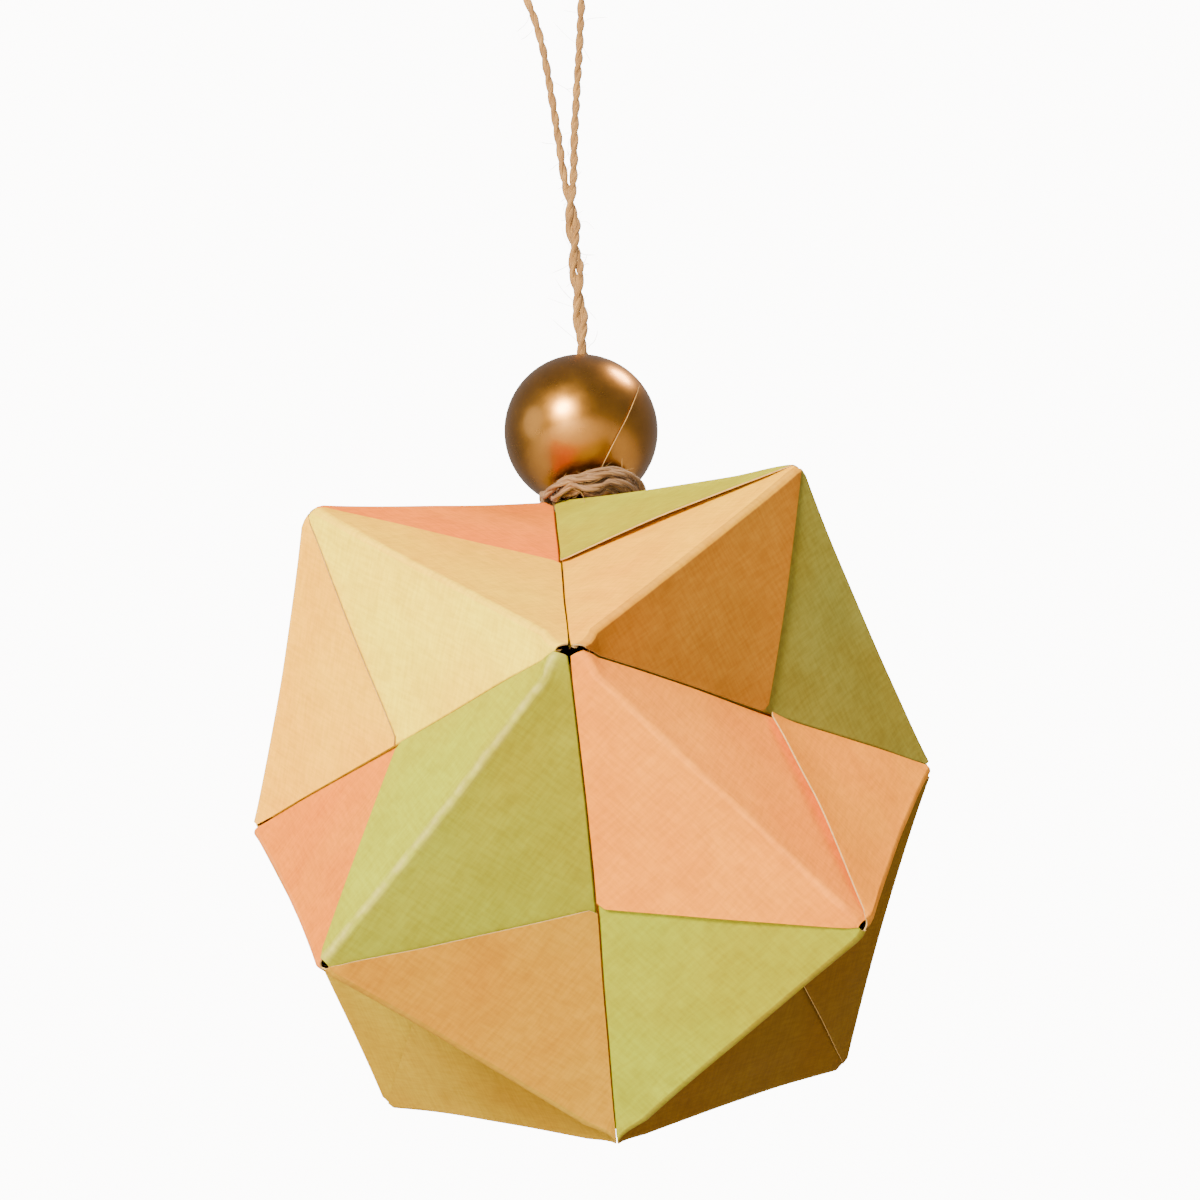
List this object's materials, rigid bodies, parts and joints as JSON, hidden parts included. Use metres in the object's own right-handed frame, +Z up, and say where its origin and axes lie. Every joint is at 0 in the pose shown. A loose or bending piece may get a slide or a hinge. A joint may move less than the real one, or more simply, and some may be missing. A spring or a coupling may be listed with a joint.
{
  "type": "kusudama paper ball",
  "caption": "Hanging modular origami star ball of interlocked folded paper units, with a gold bead and a loop of jute twine.",
  "frame": {"origin": "inside of the top of the twine loop, where it hangs on a hook or nail", "axes": "+Z up along the ball's vertical axis, -Y towards the front, +X to the right as seen from the front"},
  "size_m": [0.0721, 0.0721, 0.1638],
  "materials": {
    "paper_front_top": "pale yellow to lime paper, matt",
    "paper_front_right": "light orange paper, matt",
    "paper_front_bottom": "peach to mustard paper, matt",
    "paper_front_left": "lime to straw paper, matt",
    "paper_back_top": "straw paper, matt",
    "paper_back_right": "mustard paper, matt",
    "paper_back_bottom": "olive to mustard paper, matt",
    "paper_back_left": "peach paper, matt",
    "paper_top_left": "salmon paper, matt",
    "paper_top_right": "olive green paper, matt",
    "paper_bottom_left": "salmon to peach paper, matt",
    "paper_bottom_right": "light green paper, matt",
    "bead_gold": "satin gold metallic paint over turned wood",
    "twine": "two-ply natural jute twine"
  },
  "bodies": {
    "root": {"unit_front_top": "paper_front_top", "unit_front_right": "paper_front_right", "unit_front_bottom": "paper_front_bottom", "unit_front_left": "paper_front_left", "unit_back_top": "paper_back_top", "unit_back_right": "paper_back_right", "unit_back_bottom": "paper_back_bottom", "unit_back_left": "paper_back_left", "unit_top_left": "paper_top_left", "unit_top_right": "paper_top_right", "unit_bottom_left": "paper_bottom_left", "unit_bottom_right": "paper_bottom_right", "bead": "bead_gold", "hanging_loop": "twine", "inner_twine": "twine", "stopper_knot": "twine", "wound_knot": "twine"}
  },
  "joints": []
}
